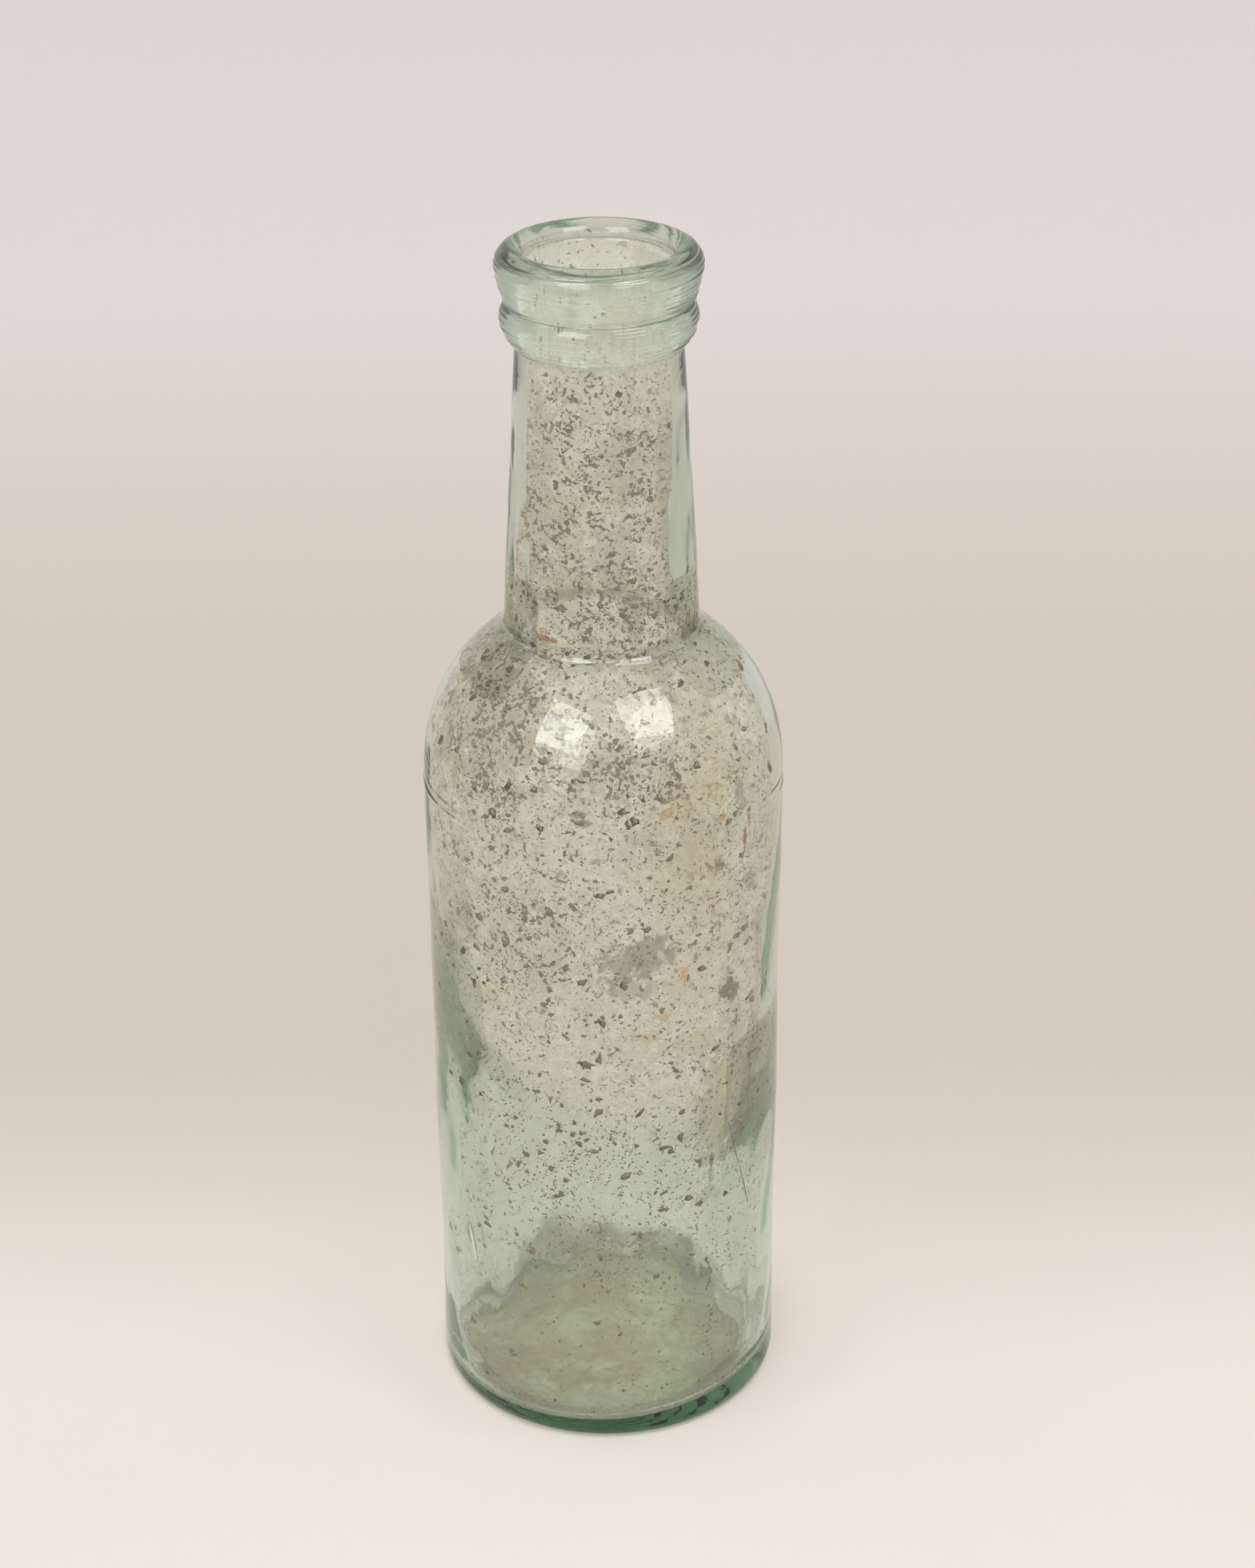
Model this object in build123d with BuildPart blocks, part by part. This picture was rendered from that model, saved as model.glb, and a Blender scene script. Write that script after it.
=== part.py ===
"""A pint glass bottle with a laid-on lip and collar, and the dried deposits that line its inside.

Millimetres, +Z up. The origin is on the bottle's axis, at the level that it stands on.
Every piece is a body turned about Z, drawn as a half section in the XZ plane.
"""

import math
import os

from build123d import *

# Outside of the blown glass
BODY_R = 35.0
HEEL_R = 1.8
SHOULDER_Z = 138.3
NECK_BASE_R = 18.75
NECK_MIDDLE = (17.3, 195.0)
NECK_FILLET_R = 2.5
SEAT_R = 15.5
SEAT_Z = 222.5
NECK_TOP_Z = 238.6

# Underside: a standing ring round a shallow push-up
PUSH_UP_R = 27.0
PUSH_UP = 1.0

# Inside of the blown glass
WALL = 3.2
INNER_R = BODY_R - WALL
FLOOR_Z = 2.6
CORNER_R = 3.2
NECK_WALL = 2.9
INNER_NECK_R = NECK_BASE_R - NECK_WALL
THROAT_R = 13.4
THROAT_Z = 214.0

# Glass laid on round the neck's top: a collar below and a lip above, with a groove between them
GROOVE_R = 17.1
GROOVE_Z = 230.9
COLLAR_R = 18.15
COLLAR_Z = 227.8
COLLAR_FLANK = (17.2, 225.0)
COLLAR_BROW = (17.9, 229.8)
COLLAR_FOOT = (15.9, 222.9)
LIP_R = 18.85
LIP_Z = 237.3
LIP_FLANK = (18.2, 234.0)
LIP_BROW = (18.15, 240.2)
LIP_CREST = (16.4, 241.5)
LIP_INNER_BROW = (14.5, 240.9)

# Dried deposits on the inside
SCALE_THICKNESS = 0.15
SCALE_FOOT_Z = 10.8
SILT_HEIGHT = 6.8
SILT_WIDTH = 6.2
FLOOR_SILT_R = 25.0
FLOOR_SILT_THICKNESS = 0.12


def dome_z(radius, dome_radius):
    """The height at which a round shoulder of that size has narrowed to radius."""
    return SHOULDER_Z + math.sqrt(dome_radius**2 - radius**2)


def dome_middle(end_radius, dome_radius):
    """A point halfway round the shoulder's arc, from its foot to end_radius."""
    half_turn = math.acos(end_radius / dome_radius) / 2
    return (dome_radius * math.cos(half_turn), SHOULDER_Z + dome_radius * math.sin(half_turn))


def outside_line():
    """The outside from the middle of the underside up to the top of the neck."""
    heel_mid = HEEL_R * (1 - math.sqrt(0.5))
    dome_end = (NECK_BASE_R, dome_z(NECK_BASE_R, BODY_R))
    push_up_mid = (PUSH_UP_R / 2, PUSH_UP * 0.75)
    ThreePointArc((0, PUSH_UP), push_up_mid, (PUSH_UP_R, 0))
    Line((PUSH_UP_R, 0), (BODY_R - HEEL_R, 0))
    ThreePointArc((BODY_R - HEEL_R, 0), (BODY_R - heel_mid, heel_mid), (BODY_R, HEEL_R))
    Line((BODY_R, HEEL_R), (BODY_R, SHOULDER_Z))
    ThreePointArc((BODY_R, SHOULDER_Z), dome_middle(NECK_BASE_R, BODY_R), dome_end)
    ThreePointArc(dome_end, NECK_MIDDLE, (SEAT_R, SEAT_Z))
    Line((SEAT_R, SEAT_Z), (SEAT_R, NECK_TOP_Z))


def inside_line(inset, foot_z, top_z):
    """The bottle's inside, moved inwards by inset, from the wall at foot_z up to the throat at top_z."""
    inner = INNER_R - inset
    neck = INNER_NECK_R - inset
    throat = THROAT_R - inset
    Line((inner, foot_z), (inner, SHOULDER_Z))
    ThreePointArc((inner, SHOULDER_Z), dome_middle(neck, inner), (neck, dome_z(neck, inner)))
    Line((neck, dome_z(neck, inner)), (throat, THROAT_Z))
    if top_z > THROAT_Z:
        Line((throat, THROAT_Z), (throat, top_z))


corner_mid = CORNER_R * (1 - math.sqrt(0.5))

with BuildPart() as bottle_body:
    with BuildSketch(Plane.XZ) as glass_section:
        with BuildLine():
            outside_line()
            Line((SEAT_R, NECK_TOP_Z), (THROAT_R, NECK_TOP_Z))
            inside_line(0, FLOOR_Z + CORNER_R, NECK_TOP_Z)
            ThreePointArc(
                (INNER_R, FLOOR_Z + CORNER_R),
                (INNER_R - corner_mid, FLOOR_Z + corner_mid),
                (INNER_R - CORNER_R, FLOOR_Z),
            )
            Line((INNER_R - CORNER_R, FLOOR_Z), (0, FLOOR_Z))
            Line((0, FLOOR_Z), (0, PUSH_UP))
        make_face()
        neck_corner = glass_section.vertices().sort_by_distance(
            Vector(NECK_BASE_R, 0, dome_z(NECK_BASE_R, BODY_R))
        )[0]
        fillet(neck_corner, radius=NECK_FILLET_R)
    revolve(axis=Axis.Z)

with BuildPart() as collar:
    with BuildSketch(Plane.XZ):
        with BuildLine():
            Line((SEAT_R, GROOVE_Z), (SEAT_R, COLLAR_FOOT[1]))
            Line((SEAT_R, COLLAR_FOOT[1]), COLLAR_FOOT)
            ThreePointArc(COLLAR_FOOT, COLLAR_FLANK, (COLLAR_R, COLLAR_Z))
            ThreePointArc((COLLAR_R, COLLAR_Z), COLLAR_BROW, (GROOVE_R, GROOVE_Z))
            Line((GROOVE_R, GROOVE_Z), (SEAT_R, GROOVE_Z))
        make_face()
    revolve(axis=Axis.Z)

with BuildPart() as lip:
    with BuildSketch(Plane.XZ):
        with BuildLine():
            Line((THROAT_R, NECK_TOP_Z), (SEAT_R, NECK_TOP_Z))
            Line((SEAT_R, NECK_TOP_Z), (SEAT_R, GROOVE_Z))
            Line((SEAT_R, GROOVE_Z), (GROOVE_R, GROOVE_Z))
            ThreePointArc((GROOVE_R, GROOVE_Z), LIP_FLANK, (LIP_R, LIP_Z))
            ThreePointArc((LIP_R, LIP_Z), LIP_BROW, LIP_CREST)
            ThreePointArc(LIP_CREST, LIP_INNER_BROW, (THROAT_R, NECK_TOP_Z))
        make_face()
    revolve(axis=Axis.Z)

with BuildPart() as wall_scale:
    with BuildSketch(Plane.XZ):
        with BuildLine():
            inside_line(0, SCALE_FOOT_Z, THROAT_Z)
            Line((THROAT_R, THROAT_Z), (THROAT_R - SCALE_THICKNESS, THROAT_Z))
            inside_line(SCALE_THICKNESS, SCALE_FOOT_Z, THROAT_Z)
            Line((INNER_R - SCALE_THICKNESS, SCALE_FOOT_Z), (INNER_R, SCALE_FOOT_Z))
        make_face()
    revolve(axis=Axis.Z)

with BuildPart() as heel_silt:
    with BuildSketch(Plane.XZ):
        with BuildLine():
            Line((INNER_R - SILT_WIDTH, FLOOR_Z), (INNER_R - CORNER_R, FLOOR_Z))
            ThreePointArc(
                (INNER_R - CORNER_R, FLOOR_Z),
                (INNER_R - corner_mid, FLOOR_Z + corner_mid),
                (INNER_R, FLOOR_Z + CORNER_R),
            )
            Line((INNER_R, FLOOR_Z + CORNER_R), (INNER_R, FLOOR_Z + SILT_HEIGHT))
            Line((INNER_R, FLOOR_Z + SILT_HEIGHT), (INNER_R - SILT_WIDTH, FLOOR_Z))
        make_face()
    revolve(axis=Axis.Z)

with BuildPart() as floor_silt:
    with BuildSketch(Plane.XY.offset(FLOOR_Z)):
        Circle(FLOOR_SILT_R)
    extrude(amount=FLOOR_SILT_THICKNESS)

pieces = {
    "bottle_body": bottle_body,
    "collar": collar,
    "lip": lip,
    "wall_scale": wall_scale,
    "heel_silt": heel_silt,
    "floor_silt": floor_silt,
}
os.makedirs("parts", exist_ok=True)
for name, piece in pieces.items():
    piece.part.label = name
    export_step(piece.part, f"parts/{name}.step")
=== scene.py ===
"""The looks of an old aqua glass bottle: blown glass, laid-on lip and collar, and dried deposits inside."""

import math
import random

import bmesh
import bpy
import numpy as np
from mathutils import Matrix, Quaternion, Vector


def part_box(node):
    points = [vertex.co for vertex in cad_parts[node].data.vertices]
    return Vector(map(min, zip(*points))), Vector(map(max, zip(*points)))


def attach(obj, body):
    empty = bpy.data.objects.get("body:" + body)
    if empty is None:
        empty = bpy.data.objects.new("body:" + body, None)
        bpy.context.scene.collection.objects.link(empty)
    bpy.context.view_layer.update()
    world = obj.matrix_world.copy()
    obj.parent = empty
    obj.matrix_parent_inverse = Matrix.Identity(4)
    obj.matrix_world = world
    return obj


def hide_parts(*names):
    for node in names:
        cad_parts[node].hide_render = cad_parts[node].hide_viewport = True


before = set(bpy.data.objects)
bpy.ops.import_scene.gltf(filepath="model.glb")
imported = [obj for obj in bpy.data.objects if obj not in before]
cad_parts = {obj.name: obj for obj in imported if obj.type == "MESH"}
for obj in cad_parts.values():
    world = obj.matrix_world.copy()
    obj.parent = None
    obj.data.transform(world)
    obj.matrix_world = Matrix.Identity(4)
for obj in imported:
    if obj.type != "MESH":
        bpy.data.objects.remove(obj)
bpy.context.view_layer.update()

MM = 0.001

# ---------------------------------------------------------------- sizes, in millimetres
# The ones that the frame knows are read from it.


def node_size(name):
    """Lowest and highest corner of a CAD node, in millimetres."""
    low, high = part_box(name)
    return [value / MM for value in low], [value / MM for value in high]


body_high = node_size("bottle_body")[1]
lip_low, lip_high = node_size("lip")
collar_low, collar_high = node_size("collar")

BODY_R = body_high[0]
NECK_TOP_Z = body_high[2]
TOP_Z = lip_high[2]
LIP_R = lip_high[0]
GROOVE_Z = lip_low[2]
COLLAR_R = collar_high[0]
COLLAR_FOOT_Z = collar_low[2]

# Outside of the blown glass
HEEL_R = 1.8
SHOULDER_Z = 138.3
NECK_BASE_R = 18.75
NECK_MIDDLE = (17.3, 195.0)
SEAT_R = 15.5
PUSH_UP_R = 27.0
PUSH_UP = 1.0
SEAM_Z = 135.6
SEAM_HEIGHT = 0.16
SEAM_HALF_WIDTH = 0.45

# Inside of the blown glass
WALL = 3.2
INNER_R = BODY_R - WALL
FLOOR_Z = 2.6
CORNER_R = 3.2
INNER_NECK_R = NECK_BASE_R - 2.9
THROAT_R = 13.4
THROAT_Z = 214.0
FLOOR_RIGHT_RISE = 0.05
FLOOR_FRONT_DROP = 0.02

# The wave where the glass thickens, a tilted ring round the inside
WAVE_Z = 93.0
WAVE_FRONT_DROP = 9.0
WAVE_LEFT_RISE = 12.0
WAVE_STEP = 0.8
WAVE_RUN = 20.0
THINNER = 1.0

# The little bubbles in the wall, besides the one long one
SEED_BUBBLES = 26

# Laid-on glass. It reaches OVERLAP into the neck, so that no air is shut in between.
GROOVE_R = 17.1
COLLAR_Z = 227.8
COLLAR_FLANK = (17.2, 225.0)
COLLAR_BROW = (17.9, 229.8)
LIP_Z = 237.3
LIP_FLANK = (18.2, 234.0)
LIP_BROW = (18.15, 240.2)
LIP_CREST_R = 16.4
LIP_INNER_BROW = (14.5, 240.9)
COLLAR_RING_DEPTH = 0.2
LIP_RING_DEPTH = 0.18
RING_PITCH = 0.75
OVERLAP = 0.3

# Dried film
FILM_GAP = 0.04
FILM_BOND = 0.16
FILM_THICKNESS = 0.06
FILM_TOP = (14.1, 240.0)
FILM_FOOT_Z = 10.4

# Flakes of dirt on the film
FLAKE_SIDES = 7
FLAKE_SIZE = 0.28
FLAKE_CLUMP = 0.75

# Silt in the corner: how far up the wall it goes, and how far round from the front it is brown
TIDE_Z = 11.5
BROWN_HALF_ANGLE = 68.0

# How far below the bottle's foot the table lies
STAGE_DROP = 0.15

# What is turned about Z has this many steps round it
SEGMENTS = 200
AROUND = np.arange(SEGMENTS) * math.tau / SEGMENTS


# ---------------------------------------------------------------- half sections


def arc(start, middle, end, count=24):
    """Points of the circular arc through three points."""
    (ax, ay), (bx, by), (cx, cy) = start, middle, end
    d = 2 * (ax * (by - cy) + bx * (cy - ay) + cx * (ay - by))
    a2 = ax * ax + ay * ay
    b2 = bx * bx + by * by
    c2 = cx * cx + cy * cy
    ux = (a2 * (by - cy) + b2 * (cy - ay) + c2 * (ay - by)) / d
    uy = (a2 * (cx - bx) + b2 * (ax - cx) + c2 * (bx - ax)) / d
    radius = math.hypot(ax - ux, ay - uy)
    first = math.atan2(ay - uy, ax - ux)
    last = math.atan2(cy - uy, cx - ux)
    way = (math.atan2(by - uy, bx - ux) - first) % math.tau
    turn = (last - first) % math.tau
    if way > turn:
        turn -= math.tau
    return [
        (ux + radius * math.cos(first + turn * i / count), uy + radius * math.sin(first + turn * i / count))
        for i in range(count + 1)
    ]


def bend(start, corner, end, count=12):
    """A soft corner: a curve from start to end that leans towards corner."""
    points = []
    for i in range(count + 1):
        t = i / count
        points.append(
            tuple((1 - t) ** 2 * a + 2 * t * (1 - t) * b + t * t * c for a, b, c in zip(start, corner, end))
        )
    return points


def joined(*runs):
    """Runs of points as one line, with no point twice."""
    line = []
    for run in runs:
        for point in run:
            if not line or math.dist(point, line[-1]) > 1e-4:
                line.append(point)
    return line


def spaced(line, step, fine=None):
    """The line again, with points every step, or every fine[2] from the height fine[0] to fine[1]."""
    points = np.array(line)
    lengths = np.hypot(*np.diff(points, axis=0).T)
    along = np.concatenate([[0], np.cumsum(lengths)])
    dense = np.linspace(0, along[-1], max(4, int(along[-1] / 0.02)))
    r = np.interp(dense, along, points[:, 0])
    z = np.interp(dense, along, points[:, 1])
    wanted = np.full(len(dense), step)
    if fine:
        wanted[(z > fine[0]) & (z < fine[1])] = fine[2]
    rows = np.concatenate([[0], np.cumsum(np.diff(dense) / wanted[1:])])
    picks = np.linspace(0, rows[-1], max(2, round(rows[-1]) + 1))
    return np.interp(picks, rows, r), np.interp(picks, rows, z)


def dome_z(radius, dome_radius):
    """The height at which a round shoulder of that size has narrowed to radius."""
    return SHOULDER_Z + math.sqrt(dome_radius**2 - radius**2)


def dome(dome_radius, end_radius):
    """The shoulder's arc, from its foot up to end_radius."""
    half_turn = math.acos(end_radius / dome_radius) / 2
    middle = (dome_radius * math.cos(half_turn), SHOULDER_Z + dome_radius * math.sin(half_turn))
    return arc((dome_radius, SHOULDER_Z), middle, (end_radius, dome_z(end_radius, dome_radius)))


def outside_line():
    """The outside from the middle of the underside up to the top of the neck."""
    slack = HEEL_R * (1 - math.sqrt(0.5))
    corner = (NECK_BASE_R, dome_z(NECK_BASE_R, BODY_R))
    neck = arc(corner, NECK_MIDDLE, (SEAT_R, COLLAR_FOOT_Z), 40)
    shoulder = dome(BODY_R, NECK_BASE_R)
    soft = bend(shoulder[-3], corner, neck[1])
    return joined(
        arc((0, PUSH_UP), (PUSH_UP_R / 2, PUSH_UP * 0.75), (PUSH_UP_R, 0)),
        [(PUSH_UP_R, 0), (BODY_R - HEEL_R, 0)],
        arc((BODY_R - HEEL_R, 0), (BODY_R - slack, slack), (BODY_R, HEEL_R)),
        [(BODY_R, HEEL_R)],
        shoulder[:-3],
        soft,
        neck[1:],
        [(SEAT_R, NECK_TOP_Z)],
    )


def inside_line(top_z):
    """The inside from top_z down to the middle of the floor."""
    slack = CORNER_R * (1 - math.sqrt(0.5))
    return joined(
        [(THROAT_R, top_z), (THROAT_R, THROAT_Z)],
        list(reversed(dome(INNER_R, INNER_NECK_R))),
        [(INNER_R, FLOOR_Z + CORNER_R)],
        arc(
            (INNER_R, FLOOR_Z + CORNER_R),
            (INNER_R - slack, FLOOR_Z + slack),
            (INNER_R - CORNER_R, FLOOR_Z),
        ),
        [(0, FLOOR_Z)],
    )


def film_line():
    """The inside again, from the lip's bore down to the foot of the wall."""
    return joined(
        [FILM_TOP, (THROAT_R, NECK_TOP_Z), (THROAT_R, THROAT_Z)],
        list(reversed(dome(INNER_R, INNER_NECK_R))),
        [(INNER_R, FILM_FOOT_Z)],
    )


WALL_R, WALL_UP = (values[::-1] for values in spaced(film_line(), 0.5))


# ---------------------------------------------------------------- a glassblower's unevenness


def smooth(low, high, value):
    """0 below low, 1 above high, with a soft rise between."""
    t = np.clip((value - low) / (high - low), 0, 1)
    return t * t * (3 - 2 * t)


def wrapped(degrees):
    """The same angles, brought between -180 and 180."""
    return (degrees + 180.0) % 360.0 - 180.0


def hand_waves(seed, count, size, turns, pitch):
    """Gentle waves over the wall: up to turns round it, and no shorter than pitch along it."""
    draw = random.Random(seed)
    return [
        (
            size * draw.uniform(0.4, 1.0) / math.sqrt(count),
            draw.randint(1, turns),
            math.tau / (pitch * draw.uniform(1.0, 3.0)) * draw.choice((-1, 1)),
            draw.uniform(0, math.tau),
        )
        for _ in range(count)
    ]


def waves_at(waves, angle, z):
    """What the waves add at each place."""
    total = np.zeros(np.broadcast(angle, z).shape)
    for size, turns, rate, phase in waves:
        total += size * np.cos(turns * angle + rate * z + phase)
    return total


OUTER_WAVES = hand_waves(3, 9, 0.16, 7, 30.0)
OUTER_DIMPLES = hand_waves(5, 12, 0.035, 22, 7.0)
INNER_WAVES = hand_waves(8, 8, 0.75, 5, 45.0)
INNER_STREAKS = hand_waves(13, 10, 0.22, 19, 26.0)
FLOOR_WAVES = hand_waves(21, 6, 0.25, 4, 18.0)


def wave_height(angle):
    """The height of the wave inside the wall, where the glass thickens."""
    return WAVE_Z - WAVE_FRONT_DROP * np.cos(angle) - WAVE_LEFT_RISE * np.sin(angle)


def outside_shape(angle, r, z):
    """The outside as blown: a little out of true, dimpled, with the mould's seam round the shoulder."""
    on_wall = smooth(2.0, 14.0, z) * smooth(SEAT_R - 2, SEAT_R + 1, r) * (1 - smooth(196.0, 222.0, z))
    r = r - on_wall * 0.12 + on_wall * waves_at(OUTER_WAVES, angle, z)
    r = r + on_wall * waves_at(OUTER_DIMPLES, angle, z)
    seam_z = SEAM_Z + 0.5 * np.cos(angle + 0.7)
    r = r + SEAM_HEIGHT * np.exp(-(((z - seam_z) / SEAM_HALF_WIDTH) ** 2))
    return np.minimum(r, BODY_R + 0.1), z


def inside_shape(angle, r, z):
    """The inside as blown: thicker below the wave, streaked down the wall, with a sloping floor."""
    up_wall = smooth(FLOOR_Z + 1.0, 16.0, z)
    below_throat = 1 - smooth(196.0, 213.0, z)
    in_neck = smooth(165.0, 185.0, z)
    below_wave = 1 - smooth(-WAVE_RUN, 0.0, z - wave_height(angle))
    step = (WAVE_STEP + THINNER) * below_wave * smooth(2.0, 26.0, z)
    thicker = step - THINNER * (1 - smooth(148.0, 172.0, z))
    uneven = waves_at(INNER_WAVES, angle, z) + waves_at(INNER_STREAKS, angle, z)
    uneven = uneven * (1 - 0.55 * in_neck) * (1 - 0.4 * (1 - below_wave) * (1 - in_neck))
    in_neck = in_neck * (0.1 + 0.7 * np.sin(angle))
    r = r - up_wall * (thicker * smooth(2.0, 40.0, z) + below_throat * (0.25 + uneven + in_neck))
    floor = (1 - smooth(FLOOR_Z + 4.0, 40.0, z)) * smooth(0.0, 30.0, r)
    z = z + floor * r * (FLOOR_RIGHT_RISE * np.sin(angle) - FLOOR_FRONT_DROP * np.cos(angle))
    in_middle = (1 - smooth(FLOOR_Z + 0.2, FLOOR_Z + 3.0, z)) * (1 - smooth(16.0, 30.0, r))
    z = z + in_middle * 0.3 * waves_at(FLOOR_WAVES, angle, r)
    return r, z


# ---------------------------------------------------------------- meshes


def facing_out(mesh):
    """Turns every face about where the closed mesh is inside out."""
    whole = bmesh.new()
    whole.from_mesh(mesh)
    if whole.calc_volume(signed=True) < 0:
        bmesh.ops.reverse_faces(whole, faces=whole.faces)
        whole.to_mesh(mesh)
    whole.free()
    mesh.update()


class Shell:
    """Vertices and faces gathered for one mesh."""

    def __init__(self):
        self.points = []
        self.faces = []
        self.count = 0

    def add(self, points, faces):
        """Takes in points, and faces that count from the first of them."""
        self.points.append(np.asarray(points, float))
        self.faces.extend([tuple(i + self.count for i in face) for face in faces])
        self.count += len(points)

    def turned(self, r, z, shape, closed=False):
        """A half section turned about Z. shape moves (angle, r, z) to (r, z). closed joins its ends."""
        grid_angle = np.broadcast_to(AROUND, (len(r), SEGMENTS))
        grid_r = np.repeat(r[:, None], SEGMENTS, 1)
        grid_z = np.repeat(z[:, None], SEGMENTS, 1)
        new_r, new_z = shape(grid_angle, grid_r, grid_z)
        x = new_r * np.sin(grid_angle)
        y = -new_r * np.cos(grid_angle)
        poles = [] if closed else [row for row in (0, len(r) - 1) if r[row] < 1e-6]
        points = []
        start = []
        for row in range(len(r)):
            start.append(len(points))
            if row in poles:
                points.append((0.0, 0.0, float(np.mean(new_z[row]))))
            else:
                points.extend(zip(x[row], y[row], new_z[row]))
        faces = []
        last = len(r) if closed else len(r) - 1
        for row in range(last):
            here, there = start[row], start[(row + 1) % len(r)]
            for i in range(SEGMENTS):
                j = (i + 1) % SEGMENTS
                if row in poles:
                    faces.append((here, there + j, there + i))
                elif (row + 1) % len(r) in poles:
                    faces.append((here + i, here + j, there))
                else:
                    faces.append((here + i, here + j, there + j, there + i))
        self.add(points, faces)

    def made(self, name, material):
        """The object, riding on the bottle, with its finish."""
        mesh = bpy.data.meshes.new(name)
        points = np.concatenate(self.points) * MM
        mesh.from_pydata(points.tolist(), [], self.faces)
        mesh.validate()
        facing_out(mesh)
        piece = bpy.data.objects.new(name, mesh)
        bpy.context.scene.collection.objects.link(piece)
        mesh.shade_smooth()
        mesh.materials.append(material)
        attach(piece, "root")
        return piece


# ---------------------------------------------------------------- shader helpers


def put(tree, kind, inputs=None, **settings):
    """A new node, its settings, and its inputs given as numbers, colours or other nodes' sockets."""
    node = tree.nodes.new(kind)
    for name, value in settings.items():
        setattr(node, name, value)
    for name, value in (inputs or {}).items():
        if isinstance(value, bpy.types.NodeSocket):
            tree.links.new(value, node.inputs[name])
        else:
            node.inputs[name].default_value = value
    return node


def calc(tree, operation, *values, clamp=False):
    """The result of a Math node."""
    node = put(tree, "ShaderNodeMath", dict(enumerate(values)), operation=operation, use_clamp=clamp)
    return node.outputs[0]


def vector_calc(tree, operation, first, second):
    """The result of a Vector Math node on two vectors."""
    return put(tree, "ShaderNodeVectorMath", {0: first, 1: second}, operation=operation).outputs[0]


def fade(tree, value, low, high, out_low=0.0, out_high=1.0):
    """A soft step from out_low at low to out_high at high."""
    node = put(
        tree,
        "ShaderNodeMapRange",
        {"Value": value, "From Min": low, "From Max": high, "To Min": out_low, "To Max": out_high},
        interpolation_type="SMOOTHSTEP",
    )
    return node.outputs["Result"]


def swing(tree, noise, size):
    """A noise from 0 to 1, made to swing from half of size below zero to half of it above."""
    return calc(tree, "MULTIPLY_ADD", noise, size, -size / 2)


def held_back(tree, value, mask, share, clamp=False):
    """The value, less that share of it where the mask is 1."""
    left = calc(tree, "SUBTRACT", 1.0, calc(tree, "MULTIPLY", mask, share))
    return calc(tree, "MULTIPLY", value, left, clamp=clamp)


def blend(tree, share, first, second):
    """The colour first, going over to second as share goes from 0 to 1."""
    node = put(tree, "ShaderNodeMix", data_type="RGBA", clamp_factor=True)
    for socket, value in zip((node.inputs["Factor"], node.inputs[6], node.inputs[7]), (share, first, second)):
        if isinstance(value, bpy.types.NodeSocket):
            tree.links.new(value, socket)
        else:
            socket.default_value = value
    return node.outputs[2]


def cloud(tree, vector, scale, detail=3.0, roughness=0.55, distortion=0.0):
    """A soft noise from 0 to 1."""
    grain = {"Scale": scale, "Detail": detail, "Roughness": roughness, "Distortion": distortion}
    return put(tree, "ShaderNodeTexNoise", {"Vector": vector, **grain}).outputs["Fac"]


def new_group(name, inputs, outputs):
    """A node group with number outputs, and with number inputs, or vector ones where that is said."""
    group = bpy.data.node_groups.new(name, "ShaderNodeTree")
    for label, default in inputs.items():
        kind = "NodeSocketVector" if default == "vector" else "NodeSocketFloat"
        socket = group.interface.new_socket(label, in_out="INPUT", socket_type=kind)
        if kind == "NodeSocketFloat":
            socket.default_value = default
    for label in outputs:
        group.interface.new_socket(label, in_out="OUTPUT", socket_type="NodeSocketFloat")
    return group, group.nodes.new("NodeGroupInput"), group.nodes.new("NodeGroupOutput")


def use(tree, group, inputs=None):
    """A group placed in a tree."""
    return put(tree, "ShaderNodeGroup", inputs, node_tree=group)


def new_material(name):
    """A material, its empty node tree, and a socket that says where each point lies."""
    material = bpy.data.materials.new(name)
    material.use_nodes = True
    tree = material.node_tree
    tree.nodes.clear()
    return material, tree, put(tree, "ShaderNodeTexCoord").outputs["Object"]


# ---------------------------------------------------------------- node groups


def specks_group():
    """Flecks, one in each cell whose draw falls under Density. Bite, a noise, makes them ragged."""
    group, ins, outs = new_group(
        "specks",
        {"Vector": "vector", "Cell": 1.0, "Density": 0.5, "Size": 0.5, "Bite": 0.0},
        ["Mask"],
    )
    scale = calc(group, "DIVIDE", 1000.0, ins.outputs["Cell"])
    cells = put(group, "ShaderNodeTexVoronoi", {"Vector": ins.outputs["Vector"], "Scale": scale})
    draws = put(group, "ShaderNodeSeparateColor", {0: cells.outputs["Color"]})
    chosen = calc(group, "LESS_THAN", draws.outputs[0], ins.outputs["Density"])
    varied = fade(group, draws.outputs[1], 0.0, 1.0, 0.35, 1.0)
    widest = calc(group, "MULTIPLY", ins.outputs["Size"], varied)
    bitten = calc(group, "ADD", cells.outputs["Distance"], ins.outputs["Bite"])
    inside = calc(group, "SUBTRACT", widest, bitten)
    edge = calc(group, "MULTIPLY", inside, 16.0, clamp=True)
    group.links.new(calc(group, "MULTIPLY", edge, chosen), outs.inputs["Mask"])
    return group


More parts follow.
